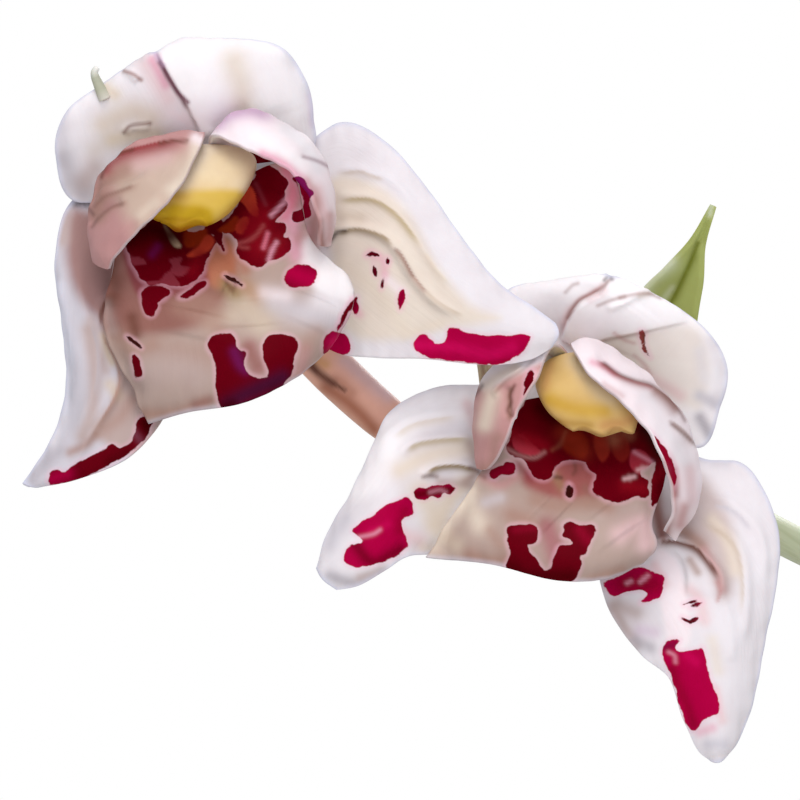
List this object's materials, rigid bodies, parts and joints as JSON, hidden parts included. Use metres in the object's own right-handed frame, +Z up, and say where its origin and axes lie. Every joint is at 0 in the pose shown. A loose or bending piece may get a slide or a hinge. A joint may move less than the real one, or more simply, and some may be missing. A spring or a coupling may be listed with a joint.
{
  "type": "potted orchid",
  "caption": "Potted lotus-petalled cymbidium orchid: tapering clay pot, arching grassy leaves and a leaning flower stem with open butterfly blooms with blotched lips.",
  "frame": {"origin": "middle of the pot's flat base, on the surface that the pot stands on", "axes": "+Z up; the blooms face -Y; +X to the right as seen from the front"},
  "size_m": [0.4547, 0.2848, 0.3796],
  "materials": {
    "clay": "unglazed fired clay, matt",
    "bark_mix": "loose bark and grit, matt",
    "pseudobulb": "waxy green skin, satin",
    "leaf": "leathery green blade, satin",
    "stem": "smooth fleshy stalk, satin",
    "bract": "thin papery green bract, satin",
    "tepal": "ivory white fleshy petal, satin, with magenta patches",
    "lip": "ivory white fleshy lip with dark red blotches, satin",
    "column": "waxy yellow, satin"
  },
  "bodies": {
    "root": {"upper_dorsal_sepal": "tepal", "upper_left_lateral_sepal": "tepal", "upper_right_lateral_sepal": "tepal", "upper_left_petal": "tepal", "upper_right_petal": "tepal", "upper_lip": "lip", "upper_column": "column", "lower_dorsal_sepal": "tepal", "lower_left_lateral_sepal": "tepal", "lower_right_lateral_sepal": "tepal", "lower_left_petal": "tepal", "lower_right_petal": "tepal", "lower_lip": "lip", "lower_column": "column", "pot": "clay", "potting_mix": "bark_mix", "pseudobulb_1": "pseudobulb", "leaf_1_1": "leaf", "leaf_1_2": "leaf", "leaf_1_3": "leaf", "leaf_1_4": "leaf", "pseudobulb_2": "pseudobulb", "leaf_2_1": "leaf", "leaf_2_2": "leaf", "leaf_2_3": "leaf", "leaf_2_4": "leaf", "leaf_2_5": "leaf", "pseudobulb_3": "pseudobulb", "leaf_3_1": "leaf", "leaf_3_2": "leaf", "leaf_3_3": "leaf", "leaf_3_4": "leaf", "leaf_3_5": "leaf", "pseudobulb_4": "pseudobulb", "leaf_4_1": "leaf", "leaf_4_2": "leaf", "leaf_4_3": "leaf", "leaf_4_4": "leaf", "scape": "stem", "scape_sheath_1": "bract", "scape_sheath_2": "bract", "scape_sheath_3": "bract", "upper_ovary": "stem", "lower_ovary": "stem", "upper_bract": "bract", "lower_bract": "bract"}
  },
  "joints": []
}
